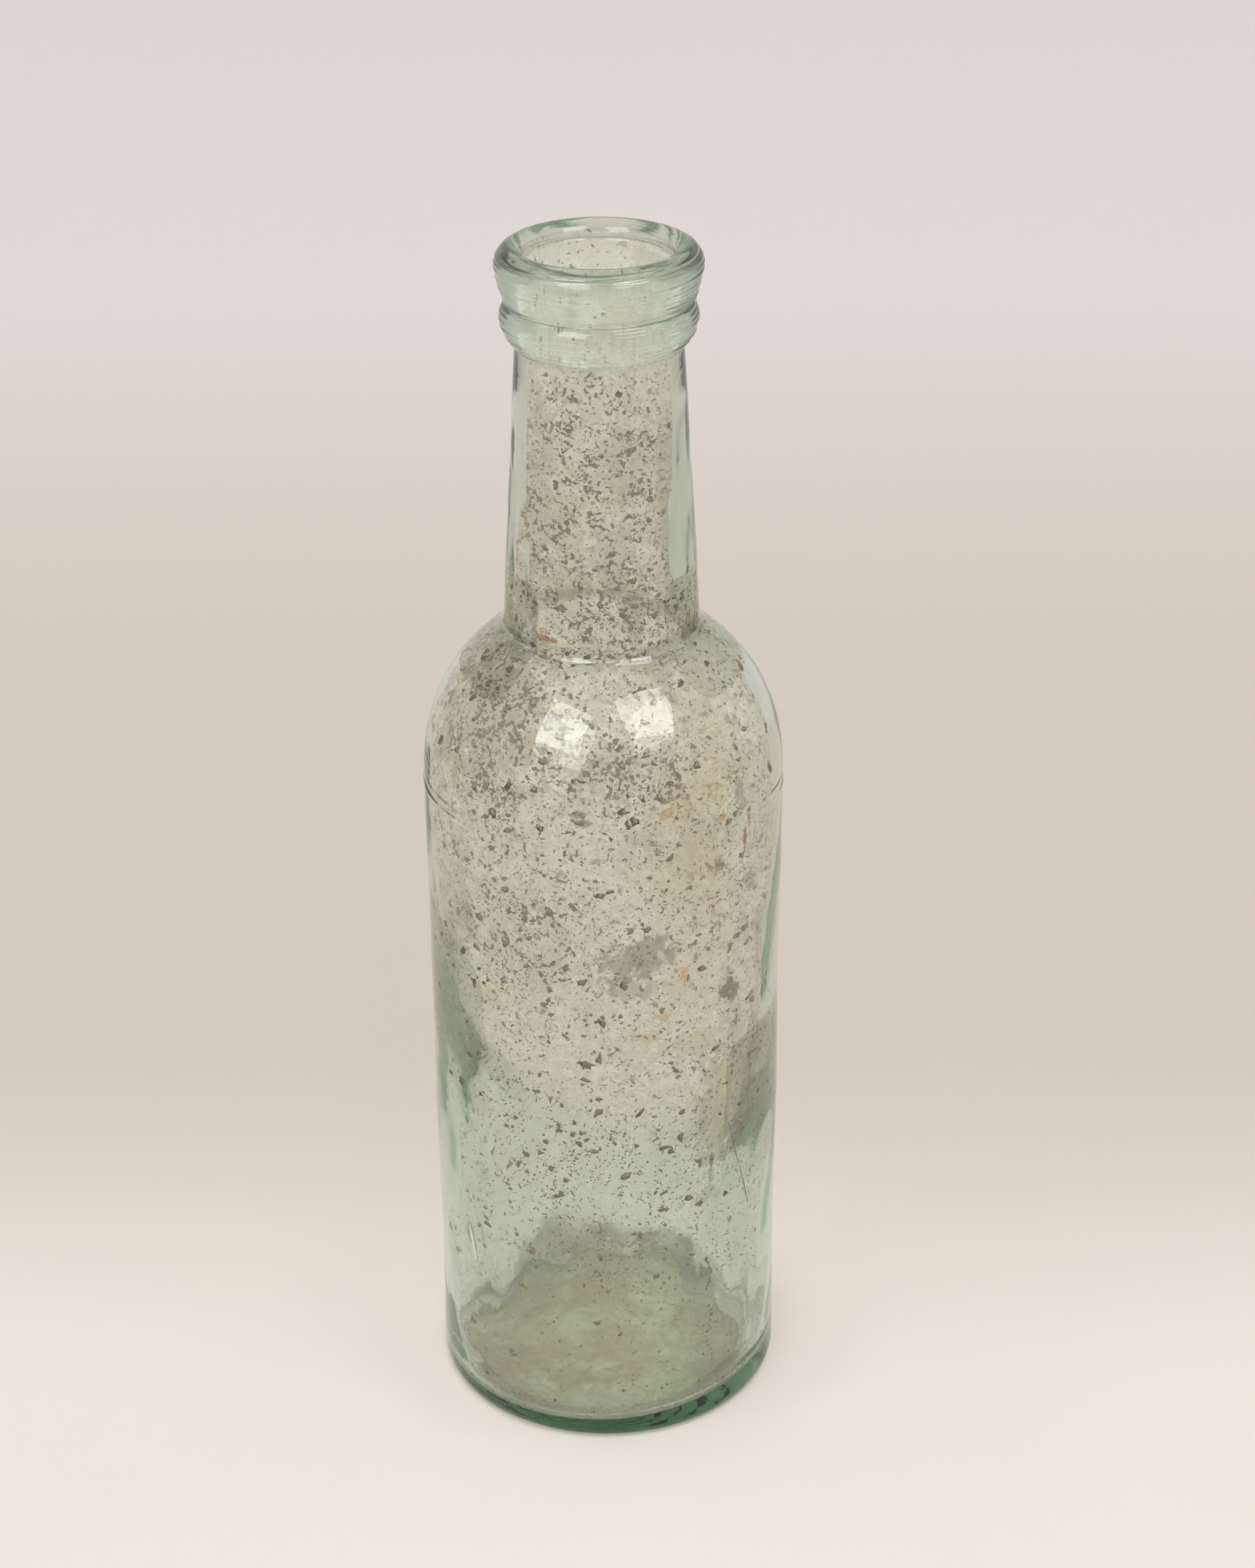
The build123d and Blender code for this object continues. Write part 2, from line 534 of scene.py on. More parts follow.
def blotch_group():
    """Cloudy patches with ragged edges, which cover a share of the surface."""
    group, ins, outs = new_group(
        "blotches",
        {"Vector": "vector", "Size": 10.0, "Cover": 0.5, "Soft": 0.1, "Shift": 0.0},
        ["Mask"],
    )
    scale = calc(group, "DIVIDE", 1000.0, ins.outputs["Size"])
    away = put(group, "ShaderNodeCombineXYZ", {0: ins.outputs["Shift"], 1: 0.0, 2: ins.outputs["Shift"]})
    place = vector_calc(group, "ADD", ins.outputs["Vector"], away.outputs[0])
    noise = cloud(group, place, scale, 6.0, 0.62)
    level = calc(group, "MULTIPLY_ADD", ins.outputs["Cover"], -0.5, 0.75)
    low = calc(group, "SUBTRACT", level, ins.outputs["Soft"])
    high = calc(group, "ADD", level, ins.outputs["Soft"])
    group.links.new(fade(group, noise, low, high), outs.inputs["Mask"])
    return group


def wall_place_group():
    """Where a point lies on the wall: its angle round the bottle in radians and its height in millimetres."""
    group, ins, outs = new_group("wall place", {"Vector": "vector"}, ["Angle", "Height"])
    xyz = put(group, "ShaderNodeSeparateXYZ", {0: ins.outputs["Vector"]})
    forward = calc(group, "MULTIPLY", xyz.outputs[1], -1.0)
    group.links.new(calc(group, "ARCTAN2", xyz.outputs[0], forward), outs.inputs["Angle"])
    group.links.new(calc(group, "DIVIDE", xyz.outputs[2], MM), outs.inputs["Height"])
    return group


def ragged_patch_group():
    """A ragged patch round Centre on the unrolled wall, for stains, worn places and one painted shade.

    Grow is one over its half size each way, and Bite is a noise.
    """
    inputs = {"Place": "vector", "Centre": "vector", "Grow": "vector", "Bite": 0.0, "Strength": 0.5}
    group, ins, outs = new_group("ragged_patch", inputs, ["Mask"])
    off = vector_calc(group, "SUBTRACT", ins.outputs["Place"], ins.outputs["Centre"])
    near = vector_calc(group, "MULTIPLY", off, ins.outputs["Grow"])
    away = put(group, "ShaderNodeVectorMath", {0: near}, operation="LENGTH").outputs["Value"]
    ragged = calc(group, "ADD", away, ins.outputs["Bite"])
    group.links.new(fade(group, ragged, 1.15, 0.55, 0.0, ins.outputs["Strength"]), outs.inputs["Mask"])
    return group


SPECKS = specks_group()
BLOTCHES = blotch_group()
WALL_PLACE = wall_place_group()
RAGGED_PATCH = ragged_patch_group()


# ---------------------------------------------------------------- glass


def glass_material(name, density, ring_grain):
    """Aqua glass, greener where it is thick. ring_grain is how deep the tooling rings are."""
    material, tree, place = new_material(name)
    shader = put(
        tree,
        "ShaderNodeBsdfPrincipled",
        {"Base Color": (1.0, 1.0, 1.0, 1.0), "Metallic": 0.0, "IOR": 1.5, "Transmission Weight": 1.0},
    )
    settings = {"Vector": place, "Size": 26.0, "Cover": 0.35, "Soft": 0.16, "Shift": 0.4}
    smudge = use(tree, BLOTCHES, settings).outputs["Mask"]
    rough = fade(tree, smudge, 0.0, 1.0, 0.0, 0.035)
    tree.links.new(rough, shader.inputs["Roughness"])
    peel = cloud(tree, place, 210.0, 2.0)
    height = calc(tree, "MULTIPLY", peel, 1.0 - ring_grain)
    if ring_grain:
        squashed = put(tree, "ShaderNodeMapping", {"Vector": place, "Scale": (60.0, 60.0, 1900.0)})
        rings = cloud(tree, squashed.outputs[0], 1.0, 4.0, 0.6)
        height = calc(tree, "ADD", height, calc(tree, "MULTIPLY", rings, ring_grain))
    bump = put(tree, "ShaderNodeBump", {"Height": height, "Strength": 0.22, "Distance": 0.0002})
    tree.links.new(bump.outputs[0], shader.inputs["Normal"])
    depth = put(tree, "ShaderNodeVolumeAbsorption", {"Color": AQUA, "Density": density})
    put(tree, "ShaderNodeOutputMaterial", {"Surface": shader.outputs[0], "Volume": depth.outputs[0]})
    return material


AQUA = (0.38, 0.63, 0.46, 1.0)
BLOWN_DENSITY = 70.0
LAID_ON_DENSITY = 64.0
body_glass = glass_material("aqua glass", BLOWN_DENSITY, 0.0)
laid_on_glass = glass_material("laid-on aqua glass", LAID_ON_DENSITY, 0.8)


# ---------------------------------------------------------------- dried film


def through(tree, colour, alpha, rough, normal, share):
    """A thin dry layer. alpha is how much of it is there, share how much of its light goes through."""
    front = put(
        tree,
        "ShaderNodeBsdfPrincipled",
        {"Base Color": colour, "Roughness": rough, "Specular IOR Level": 0.15},
    )
    if normal:
        tree.links.new(normal, front.inputs["Normal"])
    back = put(tree, "ShaderNodeBsdfTranslucent", {"Color": colour})
    layer = put(tree, "ShaderNodeMixShader", {0: share, 1: front.outputs[0], 2: back.outputs[0]})
    clear = put(tree, "ShaderNodeBsdfTransparent")
    mixed = put(tree, "ShaderNodeMixShader", {0: alpha, 1: clear.outputs[0], 2: layer.outputs[0]})
    put(tree, "ShaderNodeOutputMaterial", {"Surface": mixed.outputs[0]})


OCHRE = (0.66, 0.46, 0.17, 1.0)
ORANGE = (0.62, 0.33, 0.09, 1.0)
RUST = (0.36, 0.12, 0.03, 1.0)
SMOKE = (0.27, 0.24, 0.215, 1.0)
UMBER = (0.17, 0.125, 0.075, 1.0)
KHAKI = (0.47, 0.40, 0.22, 1.0)
DUN = (0.42, 0.34, 0.25, 1.0)
FILM_SHADE = (0.68, 0.585, 0.475, 1.0)
FILM_LIGHT = (0.88, 0.80, 0.70, 1.0)
BLOOM_SHADE = (0.68, 0.60, 0.50, 1.0)
BLOOM_LIGHT = (0.86, 0.79, 0.70, 1.0)
MOUTH_PAINTED_LIGHT = (0.96, 0.90, 0.82, 1.0)
SMEAR_GREY = (0.30, 0.275, 0.24, 1.0)
GAP_DARK = (0.17, 0.122, 0.072, 1.0)
GLASS_GREEN = (0.46, 0.57, 0.40, 1.0)

# Stains on the film, and one patch of painted shade on the upper-left shoulder
# angle, height, half width, half height, strength, colour, coarse edge
STAINS_AND_SHADE = (
    (33.0, 122.0, 12.0, 25.0, 0.42, OCHRE, True),
    (39.0, 152.0, 10.0, 16.0, 0.28, OCHRE, True),
    (44.0, 148.0, 4.0, 7.0, 0.35, OCHRE, False),
    (40.0, 73.0, 5.5, 17.0, 0.7, KHAKI, False),
    (49.0, 78.0, 6.0, 17.0, 0.6, KHAKI, False),
    (31.0, 91.0, 8.0, 4.0, 0.6, KHAKI, False),
    (36.5, 54.0, 4.5, 2.0, 0.6, KHAKI, False),
    (-42.0, 100.0, 3.2, 2.6, 0.5, OCHRE, False),
    (5.0, 110.5, 5.0, 5.0, 0.8, SMOKE, False),
    (15.5, 113.0, 5.0, 4.6, 0.8, SMOKE, False),
    (9.0, 106.0, 5.0, 3.0, 0.65, SMOKE, False),
    # Painted shade: a dun patch that darkens the upper-left shoulder
    (-56.0, 156.0, 15.0, 14.0, 0.75, DUN, False),
    (4.0, 151.0, 12.0, 5.5, 0.4, DUN, False),
    (12.0, 204.0, 5.0, 10.0, 0.5, DUN, True),
    (-20.0, 192.0, 5.0, 12.0, 0.45, KHAKI, True),
    (6.0, 186.0, 5.0, 7.0, 0.5, DUN, False),
    (-48.0, 196.0, 4.0, 24.0, 0.55, DUN, False),
    (55.0, 195.0, 4.0, 22.0, 0.6, DUN, True),
    (44.5, 100.8, 2.7, 2.3, 0.95, UMBER, False),
    (47.5, 98.9, 1.8, 1.5, 0.9, UMBER, False),
    (51.0, 142.0, 1.3, 4.6, 0.75, SMOKE, False),
    (55.5, 121.7, 1.9, 2.4, 0.75, SMOKE, False),
    (62.0, 108.0, 2.4, 7.5, 0.65, SMOKE, False),
    (60.0, 93.0, 2.6, 6.0, 0.45, SMOKE, False),
    (26.8, 107.5, 1.2, 2.2, 0.8, ORANGE, False),
    (19.5, 98.7, 2.4, 1.1, 0.65, ORANGE, False),
    (15.0, 94.8, 2.8, 1.3, 0.6, OCHRE, False),
    (51.9, 140.4, 0.8, 1.5, 0.85, ORANGE, False),
    (42.5, 138.5, 1.0, 1.1, 0.9, ORANGE, False),
    (21.0, 142.0, 1.5, 0.9, 0.7, ORANGE, False),
    (41.7, 128.6, 1.4, 1.9, 0.75, UMBER, False),
    (53.0, 131.8, 0.5, 3.6, 1.0, RUST, False),
    (55.0, 135.0, 0.5, 1.8, 0.9, RUST, False),
    (78.0, 122.5, 1.4, 5.5, 0.85, ORANGE, False),
    (39.6, 62.4, 0.6, 3.4, 0.9, UMBER, False),
    (38.5, 64.8, 1.6, 1.0, 0.75, UMBER, False),
    (-33.0, 170.0, 2.8, 0.8, 0.9, RUST, False),
    (23.0, 174.0, 2.6, 5.0, 0.55, SMOKE, False),
    (36.0, 165.0, 4.0, 5.0, 0.5, SMOKE, False),
    (160.0, 237.5, 0.8, 0.7, 0.6, RUST, False),
    (-158.0, 231.0, 1.5, 2.8, 0.8, UMBER, False),
    (-120.0, 236.0, 0.7, 1.0, 0.8, RUST, False),
    (140.0, 234.0, 4.0, 4.0, 0.35, OCHRE, False),
    (20.0, 232.0, 6.0, 5.0, 0.4, OCHRE, False),
    (-62.0, 230.5, 4.0, 1.2, 0.8, OCHRE, False),
    (150.0, 120.0, 14.0, 24.0, 0.4, OCHRE, True),
    (-140.0, 80.0, 12.0, 16.0, 0.4, DUN, True),
)

# Where the film is worn into a close lace: angle, height, half width, half height, strength
WORN = (
    (-48.0, 155.0, 24.0, 15.0, 1.0),
    (8.0, 150.0, 13.0, 7.0, 1.0),
    (0.0, 195.0, 16.0, 30.0, 0.9),
    (-25.0, 118.0, 16.0, 14.0, 0.7),
    (135.0, 130.0, 24.0, 30.0, 0.6),
    (-140.0, 215.0, 9.0, 22.0, 0.6),
    (130.0, 220.0, 9.0, 18.0, 0.6),
)


def height_over_wave(tree, angle, height):
    """How far above the wave inside the wall a point is, in millimetres."""
    front_back = calc(tree, "MULTIPLY", calc(tree, "COSINE", angle), -WAVE_FRONT_DROP)
    left_right = calc(tree, "MULTIPLY", calc(tree, "SINE", angle), -WAVE_LEFT_RISE)
    wave = calc(tree, "ADD", calc(tree, "ADD", front_back, left_right), WAVE_Z)
    return calc(tree, "SUBTRACT", height, wave)


def milkiness(tree, height, coarse, fine, dry, low_down, in_mouth):
    """How much film there is: thin below the wave in the glass, and thinner near the foot."""
    milk = fade(tree, coarse, 0.34, 0.66, 0.34, 0.54)
    milk = calc(tree, "ADD", milk, swing(tree, fine, 0.7))
    milk = calc(tree, "MULTIPLY", milk, fade(tree, dry, 0.0, 1.0, 0.40, 1.0))
    milk = held_back(tree, milk, low_down, 0.35)
    foot = calc(tree, "ADD", height, swing(tree, coarse, 12.0))
    milk = calc(tree, "MULTIPLY", milk, fade(tree, foot, 11.0, 22.0, 0.12, 1.0))
    return held_back(tree, milk, in_mouth, 0.12, clamp=True)


def smears(tree, place, dry):
    """Where the film was wiped up and down the wall."""
    combed = put(tree, "ShaderNodeMapping", {"Vector": place, "Scale": (420.0, 420.0, 80.0)})
    strokes = fade(tree, cloud(tree, combed.outputs[0], 1.0, 2.0, 0.6), 0.52, 0.68)
    patches = fade(tree, cloud(tree, place, 46.0, 1.0, 0.6), 0.57, 0.64)
    return calc(tree, "MULTIPLY", calc(tree, "MULTIPLY", strokes, patches), dry)


def grown_into_glass(tree, angle, above, fine):
    """Where the film has grown into thick glass, on the flanks beside the wave, most on the left."""
    from_front = calc(tree, "ABSOLUTE", angle)
    by_wave = calc(tree, "MULTIPLY", fade(tree, above, -26.0, -16.0), fade(tree, above, 10.0, -2.0))
    before = fade(tree, from_front, math.radians(44.0), math.radians(64.0))
    behind = fade(tree, from_front, math.radians(120.0), math.radians(104.0))
    grown = calc(tree, "MULTIPLY", calc(tree, "MULTIPLY", before, behind), by_wave)
    grown = calc(tree, "MULTIPLY", grown, fade(tree, angle, -0.3, 0.3, 1.0, 0.35))
    return calc(tree, "MULTIPLY", grown, fade(tree, fine, 0.35, 0.6, 0.75, 1.0))


def film_material():
    """The milky film on the inside of the wall, with its gaps, smears and stains, a painted shade on the
    upper-left shoulder and painted light in the mouth.
    """
    material, tree, place = new_material("mineral film")
    wall = use(tree, WALL_PLACE, {"Vector": place})
    angle, height = wall.outputs["Angle"], wall.outputs["Height"]
    unrolled = put(tree, "ShaderNodeCombineXYZ", {0: angle, 1: height}).outputs[0]
    coarse = cloud(tree, place, 95.0, 4.0, 0.6)
    fine = cloud(tree, place, 420.0, 3.0, 0.65)
    lace = cloud(tree, place, 1150.0, 1.0, 0.65, 0.4)
    mottle = cloud(tree, place, 210.0, 2.0, 0.6)
    coarse_bite = swing(tree, coarse, 3.0)
    fine_bite = swing(tree, fine, 3.0)

    def ragged_patch(degrees, up, wide, tall, strength, is_coarse):
        centre = (math.radians(degrees), up, 0.0)
        grow = (float(np.interp(up, WALL_UP, WALL_R)) / wide, 1.0 / tall, 0.0)
        bite = coarse_bite if is_coarse else fine_bite
        settings = {"Place": unrolled, "Centre": centre, "Grow": grow, "Bite": bite, "Strength": strength}
        return use(tree, RAGGED_PATCH, settings).outputs["Mask"]

    above = height_over_wave(tree, angle, height)
    dry = fade(tree, calc(tree, "ADD", above, swing(tree, coarse, 50.0)), -14.0, 6.0)
    low_down = fade(tree, height, 42.0, 14.0)
    in_mouth = fade(tree, height, 220.0, 231.0)

    alpha = milkiness(tree, height, coarse, fine, dry, low_down, in_mouth)
    colour = blend(tree, fade(tree, fine, 0.35, 0.65), FILM_SHADE, FILM_LIGHT)
    # Painted light: the film is coloured paler up in the mouth, standing in for the brighter light that comes
    # through there
    colour = blend(tree, calc(tree, "MULTIPLY", in_mouth, 0.7), colour, MOUTH_PAINTED_LIGHT)

    for degrees, up, wide, tall, strength, tint, is_coarse in STAINS_AND_SHADE:
        mask = ragged_patch(degrees, up, wide, tall, strength, is_coarse)
        colour = blend(tree, mask, colour, tint)
        alpha = calc(tree, "MAXIMUM", alpha, mask)

    smear = smears(tree, place, dry)
    colour = blend(tree, calc(tree, "MULTIPLY", smear, 0.6), colour, SMEAR_GREY)
    alpha = calc(tree, "MAXIMUM", alpha, calc(tree, "MULTIPLY", smear, 0.45))

    # ragged little gaps that show dark, closest where the film is worn
    worn = fade(tree, coarse, 0.38, 0.64, 0.12, 0.68)
    for degrees, up, wide, tall, strength in WORN:
        worn = calc(tree, "MAXIMUM", worn, ragged_patch(degrees, up, wide, tall, strength, True))
    worn = calc(tree, "MULTIPLY", worn, fade(tree, mottle, 0.40, 0.58, 0.1, 1.15))
    worn = calc(tree, "MULTIPLY", worn, fade(tree, dry, 0.0, 1.0, 0.5, 1.0))
    worn = held_back(tree, worn, low_down, 0.8)
    worn = held_back(tree, worn, in_mouth, 0.75)
    colour = blend(tree, calc(tree, "MULTIPLY", worn, 0.35), colour, DUN)
    least = calc(tree, "MULTIPLY_ADD", worn, -0.17, 0.69)
    gap = calc(tree, "MULTIPLY", calc(tree, "SUBTRACT", lace, least), 24.0, clamp=True)
    colour = blend(tree, gap, colour, GAP_DARK)
    alpha = calc(tree, "MAXIMUM", alpha, calc(tree, "MULTIPLY", gap, 0.82))

    grown = grown_into_glass(tree, angle, above, fine)
    colour = blend(tree, calc(tree, "MULTIPLY", grown, 0.8), colour, GLASS_GREEN)
    alpha = calc(tree, "MAXIMUM", alpha, calc(tree, "MULTIPLY", grown, 0.7))

    bump = put(tree, "ShaderNodeBump", {"Height": fine, "Strength": 0.5, "Distance": 0.0001})
    rough = fade(tree, fine, 0.3, 0.7, 0.75, 0.95)
    through(tree, colour, calc(tree, "MINIMUM", alpha, 0.92), rough, bump.outputs[0], 0.45)
    return material


def film_back_material():
    """The film's dry inner face: a faint even bloom."""
    material, tree, place = new_material("film bloom")
    bloom = cloud(tree, place, 300.0, 2.0, 0.6)
    colour = blend(tree, bloom, BLOOM_SHADE, BLOOM_LIGHT)
    through(tree, colour, fade(tree, bloom, 0.35, 0.7, 0.02, 0.12), 0.9, None, 0.45)
    return material


def silt_material(name, pale, deep, least, most):
    """Dried silt, from pale to deep, between least and most opaque."""
    material, tree, place = new_material(name)
    settings = {"Vector": place, "Size": 14.0, "Cover": 0.5, "Soft": 0.12, "Shift": 0.13}
    patch = use(tree, BLOTCHES, settings).outputs["Mask"]
    grain = cloud(tree, place, 700.0, 4.0, 0.7)
    colour = blend(tree, patch, pale, deep)
    alpha = fade(tree, patch, 0.0, 1.0, least, most)
    alpha = calc(tree, "ADD", alpha, swing(tree, grain, 0.5), clamp=True)
    height = use(tree, WALL_PLACE, {"Vector": place}).outputs["Height"]
    tide = calc(tree, "ADD", height, calc(tree, "MULTIPLY", patch, -2.0))
    alpha = calc(tree, "MULTIPLY", alpha, fade(tree, tide, 9.0, 4.5, 0.08, 1.0))
    ragged = swing(tree, grain, 0.4)
    settings = {"Vector": place, "Cell": 1.5, "Density": 0.2, "Size": 0.26, "Bite": ragged}
    fleck = use(tree, SPECKS, settings).outputs["Mask"]
    colour = blend(tree, fleck, colour, UMBER)
    alpha = calc(tree, "MAXIMUM", alpha, calc(tree, "MULTIPLY", fleck, 0.8))
    bump = put(tree, "ShaderNodeBump", {"Height": grain, "Strength": 0.6, "Distance": 0.0002})
    through(tree, colour, alpha, fade(tree, grain, 0.3, 0.7, 0.8, 0.97), bump.outputs[0], 0.5)
    return material


def dirt_material(name, dark, warm):
    """Flakes of dirt, most of them dark and some of them warm brown."""
    material, tree, place = new_material(name)
    tone = cloud(tree, place, 260.0, 3.0, 0.6)
    grain = cloud(tree, place, 2600.0, 3.0, 0.7)
    colour = blend(tree, fade(tree, tone, 0.40, 0.70), dark, warm)
    colour = blend(tree, fade(tree, grain, 0.45, 0.75, 0.0, 0.5), colour, (0.36, 0.33, 0.27, 1.0))
    bump = put(tree, "ShaderNodeBump", {"Height": grain, "Strength": 0.7, "Distance": 0.0001})
    rough = fade(tree, grain, 0.3, 0.7, 0.75, 0.95)
    shader = put(
        tree,
        "ShaderNodeBsdfPrincipled",
        {"Base Color": colour, "Roughness": rough, "Specular IOR Level": 0.25, "Normal": bump.outputs[0]},
    )
    put(tree, "ShaderNodeOutputMaterial", {"Surface": shader.outputs[0]})
    return material


mineral_film = film_material()
film_bloom = film_back_material()
olive_silt = silt_material("olive floor silt", (0.45, 0.47, 0.26, 1.0), (0.43, 0.36, 0.22, 1.0), 0.32, 0.46)
grey_residue = silt_material("grey residue", (0.36, 0.345, 0.27, 1.0), (0.28, 0.26, 0.20, 1.0), 0.36, 0.52)
brown_residue = silt_material("brown sediment", (0.43, 0.38, 0.25, 1.0), (0.27, 0.205, 0.13, 1.0), 0.5, 0.72)
pale_residue = silt_material("pale residue", (0.80, 0.77, 0.68, 1.0), (0.66, 0.62, 0.52, 1.0), 0.2, 0.36)
dirt = dirt_material("flaked dirt", (0.17, 0.13, 0.08, 1.0), (0.25, 0.165, 0.09, 1.0))


# ---------------------------------------------------------------- pieces


def add_bubble(shell, degrees, z, r, size, lean):
    """A closed bubble in the wall: its width, height and depth, leaning that far over."""
    angle = math.radians(degrees)
    outward = np.array([math.sin(angle), -math.cos(angle), 0.0])
    around = np.array([math.cos(angle), math.sin(angle), 0.0])
    up = np.array([0.0, 0.0, 1.0])
    wide = around * math.cos(lean) + up * math.sin(lean)
    tall = up * math.cos(lean) - around * math.sin(lean)
    rings, sides = 12, 16
    points = [outward * r + up * z - tall * size[1] / 2]
    for i in range(1, rings):
        rise = -math.cos(math.pi * i / rings)
        girth = math.sin(math.pi * i / rings)
        for j in range(sides):
            turn = math.tau * j / sides
            offset = wide * size[0] * girth * math.cos(turn) + outward * size[2] * girth * math.sin(turn)
            points.append(outward * r + up * z + offset / 2 + tall * size[1] * rise / 2)
    points.append(outward * r + up * z + tall * size[1] / 2)
    last = len(points) - 1
    faces = []
    for j in range(sides):
        k = (j + 1) % sides
        faces.append((0, 1 + j, 1 + k))
        faces.append((last, last - sides + k, last - sides + j))
        for i in range(rings - 2):
            low, high = 1 + i * sides, 1 + (i + 1) * sides
            faces.append((low + j, high + j, high + k, low + k))
    shell.add(points, faces)


def make_body():
    """The blown bottle, one closed skin of glass."""
    out_r, out_z = spaced(outside_line(), 1.3, (SEAM_Z - 2.0, SEAM_Z + 2.0, 0.2))
    in_r, in_z = spaced(inside_line(NECK_TOP_Z), 1.2)
    rows = len(out_r)
    r = np.concatenate([out_r, in_r])
    z = np.concatenate([out_z, in_z])

    def shape(angle, r, z):
        new_r, new_z = r.copy(), z.copy()
        new_r[:rows], new_z[:rows] = outside_shape(angle[:rows], r[:rows], z[:rows])
        new_r[rows:], new_z[rows:] = inside_shape(angle[rows:], r[rows:], z[rows:])
        return new_r, new_z

    shell = Shell()
    shell.turned(r, z, shape)
    add_bubble(shell, degrees=-53.0, z=38.8, r=33.1, size=(2.8, 9.5, 1.5), lean=0.21)
    draw = random.Random(17)
    for _ in range(SEED_BUBBLES):
        across = draw.uniform(0.25, 0.6)
        size = (across, across * draw.uniform(1.0, 2.6), across)
        add_bubble(shell, draw.uniform(-180, 180), draw.uniform(12, 130), draw.uniform(33.2, 34.2), size, 0.0)
    return shell.made("blown_bottle", body_glass)


def ring_shape(waves, depth):
    """Tooling rings and a hand-pressed unevenness for laid-on glass."""
    fine = hand_waves(31, 9, depth, 3, RING_PITCH)

    def shape(angle, r, z):
        outer = smooth(SEAT_R + 0.3, SEAT_R + 1.5, r)
        stronger = 0.45 + 0.55 * smooth(-0.2, 0.9, np.sin(angle))
        r = r + outer * (waves_at(waves, angle, z) + stronger * waves_at(fine, angle, z))
        return r, z

    return shape


def make_collar():
    """The ring of glass laid on under the lip."""
    top = (SEAT_R - OVERLAP, GROOVE_Z + OVERLAP)
    foot = (SEAT_R + 0.5, COLLAR_FOOT_Z + 0.4)
    line = joined(
        [top, (SEAT_R - OVERLAP, COLLAR_FOOT_Z)],
        bend((SEAT_R - OVERLAP, COLLAR_FOOT_Z), (SEAT_R + 0.1, COLLAR_FOOT_Z - 0.2), foot),
        arc(foot, COLLAR_FLANK, (COLLAR_R, COLLAR_Z)),
        arc((COLLAR_R, COLLAR_Z), COLLAR_BROW, (GROOVE_R, GROOVE_Z)),
        bend((GROOVE_R, GROOVE_Z), (GROOVE_R - 0.3, GROOVE_Z + OVERLAP), top),
    )
    r, z = spaced(line, 0.2)
    shell = Shell()
    shape = ring_shape(hand_waves(34, 5, 0.14, 4, 30.0), COLLAR_RING_DEPTH)
    shell.turned(r[:-1], z[:-1], shape, closed=True)
    return shell.made("collar_ring", laid_on_glass)


def make_lip():
    """The rounded lip laid on over the neck's top."""
    inside_top = (SEAT_R - OVERLAP, NECK_TOP_Z - OVERLAP)
    inside_foot = (SEAT_R - OVERLAP, GROOVE_Z - OVERLAP)
    line = joined(
        [inside_top, inside_foot],
        bend(inside_foot, (GROOVE_R - 0.2, GROOVE_Z - OVERLAP), (GROOVE_R, GROOVE_Z)),
        arc((GROOVE_R, GROOVE_Z), LIP_FLANK, (LIP_R, LIP_Z)),
        arc((LIP_R, LIP_Z), LIP_BROW, (LIP_CREST_R, TOP_Z)),
        arc((LIP_CREST_R, TOP_Z), LIP_INNER_BROW, (THROAT_R, NECK_TOP_Z)),
        [(THROAT_R + OVERLAP, NECK_TOP_Z - OVERLAP), inside_top],
    )
    r, z = spaced(line, 0.2)
    shell = Shell()
    shape = ring_shape(hand_waves(36, 5, 0.16, 3, 40.0), LIP_RING_DEPTH)
    shell.turned(r[:-1], z[:-1], shape, closed=True)
    return shell.made("rolled_lip", laid_on_glass)


def film_reach(angle, z):
    """How far the film stands in from the wall: below zero on the flanks, where it has grown into it."""
    from_front = np.abs(wrapped(np.degrees(angle)))
    over_wave = z - wave_height(angle)
    by_wave = smooth(-30.0, -20.0, over_wave) * (1 - smooth(4.0, 12.0, over_wave))
    by_neck = smooth(156.0, 162.0, z) * (1 - smooth(174.0, 182.0, z))
    by_foot = 1 - smooth(14.0, 19.0, z)
    on_flank = smooth(40.0, 56.0, from_front) * (1 - smooth(118.0, 132.0, from_front))
    bonded = on_flank * np.maximum(np.maximum(by_wave, by_neck), by_foot)
    return FILM_GAP - (FILM_GAP + FILM_BOND) * bonded


def make_film():
    """The film, a closed skin just clear of the glass, or grown into its face."""
    r, z = spaced(film_line(), 1.3)
    rows = len(r)

    def shape(angle, r, z):
        new_r, new_z = inside_shape(angle, r, z)
        new_r -= film_reach(angle, z)
        new_r[rows:] -= FILM_THICKNESS
        return new_r, new_z

    shell = Shell()
    shell.turned(np.concatenate([r, r[::-1]]), np.concatenate([z, z[::-1]]), shape, closed=True)
    piece = shell.made("wall_film", mineral_film)
    piece.data.materials.append(film_bloom)
    inner = np.zeros(len(piece.data.polygons), np.int32)
    inner[rows * SEGMENTS : (2 * rows - 1) * SEGMENTS] = 1
    piece.data.polygons.foreach_set("material_index", inner)
    return piece


# How far out the clean, olive part of the floor reaches, as (angle in degrees, radius)
CLEAN_EDGE = (
    (-180.0, 31.6),
    (-152.5, 31.5),
    (-141.0, 29.1),
    (-118.5, 25.6),
    (-98.0, 28.5),
    (-83.0, 29.2),
    (-62.5, 27.0),
    (63.5, 27.0),
    (84.0, 28.1),
    (97.5, 25.4),
    (113.5, 23.2),
    (128.5, 24.4),
    (144.0, 28.0),
    (160.5, 31.3),
    (180.0, 31.6),
)


